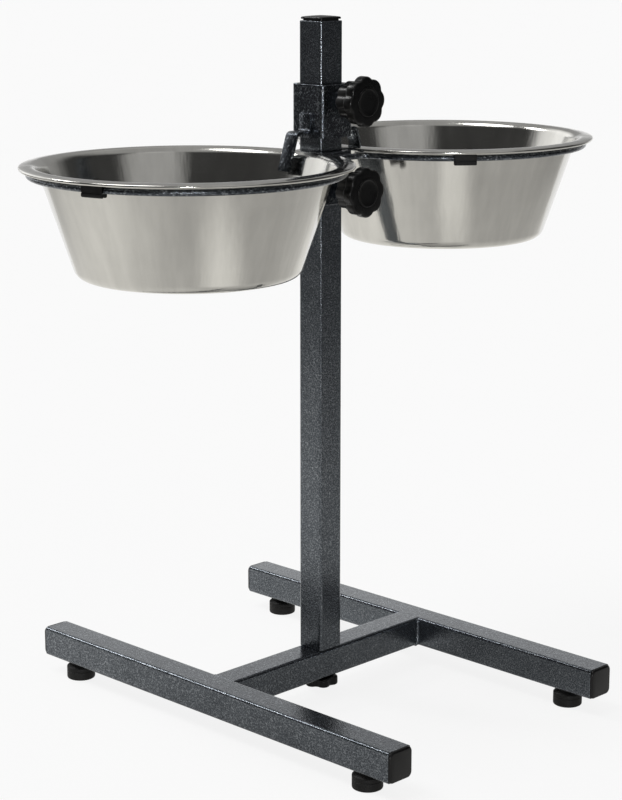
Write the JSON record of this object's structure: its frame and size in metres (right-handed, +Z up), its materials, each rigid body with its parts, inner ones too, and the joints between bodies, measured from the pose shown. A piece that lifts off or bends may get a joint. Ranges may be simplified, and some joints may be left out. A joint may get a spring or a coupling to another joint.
{
  "type": "raised dog feeder stand",
  "caption": "Height-adjustable raised feeder: steel bowls in a wire frame and a hooked bowl lock, both clamped by star knobs on a square post over an H-shaped tube base.",
  "frame": {"origin": "on the floor, below the axis of the post", "axes": "+X from the left bowl to the right bowl, -Y towards the clamp knobs, +Z up"},
  "size_m": [0.5444, 0.4064, 0.564],
  "materials": {
    "hammered_paint": "dark grey hammered enamel with fine silver specks, satin",
    "black_plastic": "semi-gloss",
    "black_rubber": "matt",
    "plated_steel": "zinc plated",
    "polished_steel": "polished"
  },
  "bodies": {
    "base": {"left_bar": "hammered_paint", "right_bar": "hammered_paint", "crossbar": "hammered_paint", "post": "hammered_paint", "post_plug": "plated_steel", "post_cap": "black_plastic", "left_front_cap": "black_plastic", "left_rear_cap": "black_plastic", "right_front_cap": "black_plastic", "right_rear_cap": "black_plastic", "left_front_foot": "black_rubber", "left_rear_foot": "black_rubber", "right_front_foot": "black_rubber", "right_rear_foot": "black_rubber", "foot_screws": "plated_steel"},
    "base_screw": {"base_screw": "plated_steel"},
    "base_knob": {"base_knob": "black_plastic"},
    "carrier": {"carrier_sleeve": "hammered_paint", "carrier_nut": "hammered_paint", "bowl_frame": "hammered_paint", "left_clip_1": "black_rubber", "left_clip_2": "black_rubber", "left_clip_3": "black_rubber", "right_clip_1": "black_rubber", "right_clip_2": "black_rubber", "right_clip_3": "black_rubber"},
    "left_bowl": {"left_bowl": "polished_steel"},
    "right_bowl": {"right_bowl": "polished_steel"},
    "carrier_screw": {"carrier_screw": "plated_steel"},
    "carrier_knob": {"carrier_knob": "black_plastic", "carrier_knob_cap": "black_plastic"},
    "lock": {"lock_sleeve": "hammered_paint", "lock_nut": "hammered_paint", "left_hook": "hammered_paint", "right_hook": "hammered_paint"},
    "lock_screw": {"lock_screw": "plated_steel"},
    "lock_knob": {"lock_knob": "black_plastic", "lock_knob_cap": "black_plastic"}
  },
  "joints": [
    {"name": "carrier_slide", "type": "slide", "parent": "base", "child": "carrier", "axis": [0, 0, 1], "range_m": [-0.33, 0.012]},
    {"name": "lock_slide", "type": "slide", "parent": "carrier", "child": "lock", "axis": [0, 0, 1], "range_m": [0, 0.036]},
    {"name": "left_bowl_lift", "type": "slide", "parent": "carrier", "child": "left_bowl", "axis": [0, 0, 1], "range_m": [0, 0.008]},
    {"name": "right_bowl_lift", "type": "slide", "parent": "carrier", "child": "right_bowl", "axis": [0, 0, 1], "range_m": [0, 0.008]},
    {"name": "carrier_screw_feed", "type": "slide", "parent": "carrier", "child": "carrier_screw", "axis": [0, -1, 0], "range_m": [0, 0.0025]},
    {"name": "carrier_knob_turn", "type": "hinge", "parent": "carrier_screw", "child": "carrier_knob", "pos_m": [0, -0.04, 0.428], "axis": [0, -1, 0], "range_deg": [0, 720]},
    {"name": "lock_screw_feed", "type": "slide", "parent": "lock", "child": "lock_screw", "axis": [0, -1, 0], "range_m": [0, 0.0025]},
    {"name": "lock_knob_turn", "type": "hinge", "parent": "lock_screw", "child": "lock_knob", "pos_m": [0, -0.04, 0.499], "axis": [0, -1, 0], "range_deg": [0, 720]},
    {"name": "base_screw_feed", "type": "slide", "parent": "base", "child": "base_screw", "axis": [0, 0, -1], "range_m": [0, 0.0025]},
    {"name": "base_knob_turn", "type": "hinge", "parent": "base_screw", "child": "base_knob", "pos_m": [0, 0, 0.01], "axis": [0, 0, -1], "range_deg": [0, 720]}
  ],
  "couplings": [
    {"joint": "carrier_knob_turn", "follows": "carrier_screw_feed", "rad_per_m": 5026.5},
    {"joint": "lock_knob_turn", "follows": "lock_screw_feed", "rad_per_m": 5026.5},
    {"joint": "base_knob_turn", "follows": "base_screw_feed", "rad_per_m": 5026.5}
  ]
}
